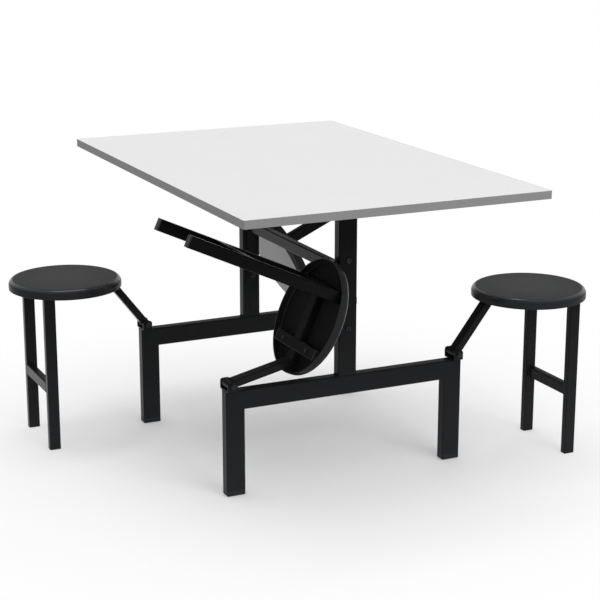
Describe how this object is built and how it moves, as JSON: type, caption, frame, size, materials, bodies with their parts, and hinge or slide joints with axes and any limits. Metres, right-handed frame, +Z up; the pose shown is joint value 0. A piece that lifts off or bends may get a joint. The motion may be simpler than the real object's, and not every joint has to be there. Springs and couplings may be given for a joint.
{
  "type": "table with fold-up stools",
  "caption": "Canteen table with a flat board on two post-and-leg end frames and round stools that fold up against the posts on level hinges.",
  "frame": {"origin": "centre of the table on the floor", "axes": "+X across the end frames towards the right-hand stools, +Y along the board away from the viewer, +Z up"},
  "size_m": [1.376, 1.2, 0.762],
  "materials": {
    "white_laminate": "satin white laminate on board",
    "grey_edge": "matt grey edge strip",
    "black_steel": "black powder coat on steel tube",
    "sleeve_steel": "black powder coat on a steel sleeve",
    "seat_plastic": "black moulded plastic with a fine grain",
    "cap_plastic": "black moulded plastic",
    "black_fastener": "black zinc"
  },
  "bodies": {
    "frame": {"edge_band": "grey_edge", "end_caps": "cap_plastic", "far_crossbar": "black_steel", "far_left_leg": "black_steel", "far_post": "black_steel", "far_right_leg": "black_steel", "far_top_rail": "black_steel", "flange_nuts": "black_fastener", "hinge_brackets": "black_steel", "near_crossbar": "black_steel", "near_left_leg": "black_steel", "near_post": "black_steel", "near_right_leg": "black_steel", "near_top_rail": "black_steel", "pivot_bolts": "black_fastener", "post_bolts": "black_fastener", "stretcher": "black_steel", "stretcher_plates": "black_steel", "tabletop": "white_laminate", "top_screws": "black_fastener"},
    "near_left_stool": {"near_left_seat": "seat_plastic", "near_left_arm": "black_steel", "near_left_pivot_sleeve": "sleeve_steel", "near_left_front_bar": "black_steel", "near_left_rear_bar": "black_steel", "near_left_spine": "black_steel", "near_left_foot_rail": "black_steel", "near_left_stool_legs": "black_steel", "near_left_tube_caps": "cap_plastic", "near_left_seat_screws": "black_fastener"},
    "near_right_stool": {"near_right_seat": "seat_plastic", "near_right_arm": "black_steel", "near_right_pivot_sleeve": "sleeve_steel", "near_right_front_bar": "black_steel", "near_right_rear_bar": "black_steel", "near_right_spine": "black_steel", "near_right_foot_rail": "black_steel", "near_right_stool_legs": "black_steel", "near_right_tube_caps": "cap_plastic", "near_right_seat_screws": "black_fastener"},
    "far_left_stool": {"far_left_seat": "seat_plastic", "far_left_arm": "black_steel", "far_left_pivot_sleeve": "sleeve_steel", "far_left_front_bar": "black_steel", "far_left_rear_bar": "black_steel", "far_left_spine": "black_steel", "far_left_foot_rail": "black_steel", "far_left_stool_legs": "black_steel", "far_left_tube_caps": "cap_plastic", "far_left_seat_screws": "black_fastener"},
    "far_right_stool": {"far_right_seat": "seat_plastic", "far_right_arm": "black_steel", "far_right_pivot_sleeve": "sleeve_steel", "far_right_front_bar": "black_steel", "far_right_rear_bar": "black_steel", "far_right_spine": "black_steel", "far_right_foot_rail": "black_steel", "far_right_stool_legs": "black_steel", "far_right_tube_caps": "cap_plastic", "far_right_seat_screws": "black_fastener"}
  },
  "joints": [
    {"name": "near_left_fold", "type": "hinge", "parent": "frame", "child": "near_left_stool", "pos_m": [-0.316, -0.302, 0.2895], "axis": [0, -1, 0], "range_deg": [0, 114.65]},
    {"name": "near_right_fold", "type": "hinge", "parent": "frame", "child": "near_right_stool", "pos_m": [0.316, -0.302, 0.2895], "axis": [0, -1, 0], "range_deg": [0, 114.65]},
    {"name": "far_left_fold", "type": "hinge", "parent": "frame", "child": "far_left_stool", "pos_m": [-0.316, 0.302, 0.2895], "axis": [0, 1, 0], "range_deg": [0, 114.65]},
    {"name": "far_right_fold", "type": "hinge", "parent": "frame", "child": "far_right_stool", "pos_m": [0.316, 0.302, 0.2895], "axis": [0, 1, 0], "range_deg": [0, 114.65]}
  ]
}
